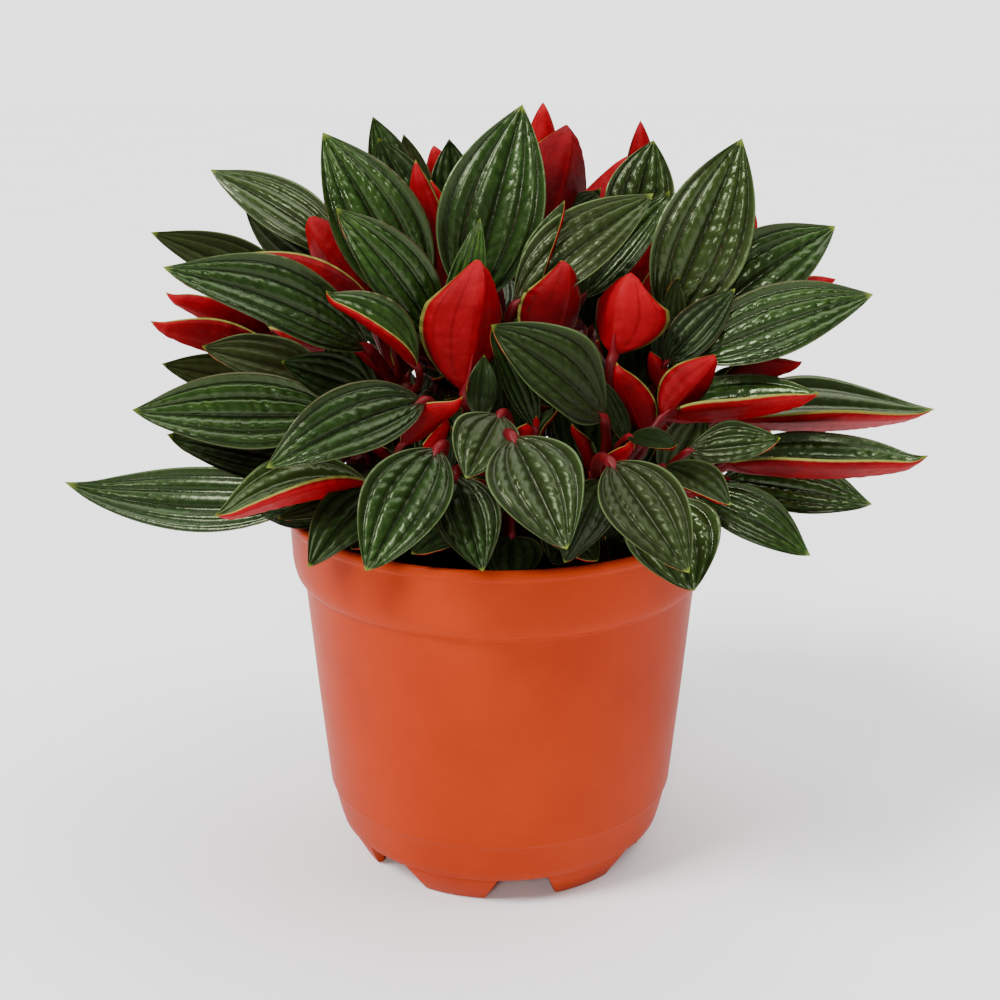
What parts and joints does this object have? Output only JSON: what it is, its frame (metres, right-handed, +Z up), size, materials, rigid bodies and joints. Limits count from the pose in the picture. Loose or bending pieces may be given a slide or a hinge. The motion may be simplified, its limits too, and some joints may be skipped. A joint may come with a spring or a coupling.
{
  "type": "potted peperomia",
  "caption": "Bushy house plant with narrow ribbed leaves, dark green above and red below, in a round tapered plastic nursery pot that stands on a ring of feet",
  "frame": {"origin": "on the pot's axis, at the height of the flat bottoms of its feet", "axes": "+Z up along the pot's axis, +X to the right and -Y towards the side that is looked at"},
  "size_m": [0.243, 0.196, 0.2132],
  "materials": {
    "pot": "satin terracotta-orange moulded plastic with faint mottling",
    "soil": "dark crumbly peat",
    "leaf": "glossy dark green above with sunken veins and a pale margin, satin red below and on the stalks"
  },
  "bodies": {
    "root": {"pot": "pot", "soil": "soil", "shoot_left": "leaf", "shoot_left_upper": "leaf", "shoot_back_left": "leaf", "shoot_middle": "leaf", "shoot_back_right": "leaf", "shoot_right_upper": "leaf", "shoot_right": "leaf", "shoot_right_low": "leaf", "shoot_front_left": "leaf", "shoot_front": "leaf", "shoot_front_right": "leaf", "shoot_back_tall": "leaf", "shoot_side_right": "leaf", "shoot_side_left": "leaf", "shoot_back_low_right": "leaf", "shoot_back_low": "leaf", "shoot_back_low_left": "leaf", "shoot_back_upper_left": "leaf", "shoot_back_upper_right": "leaf"}
  },
  "joints": []
}
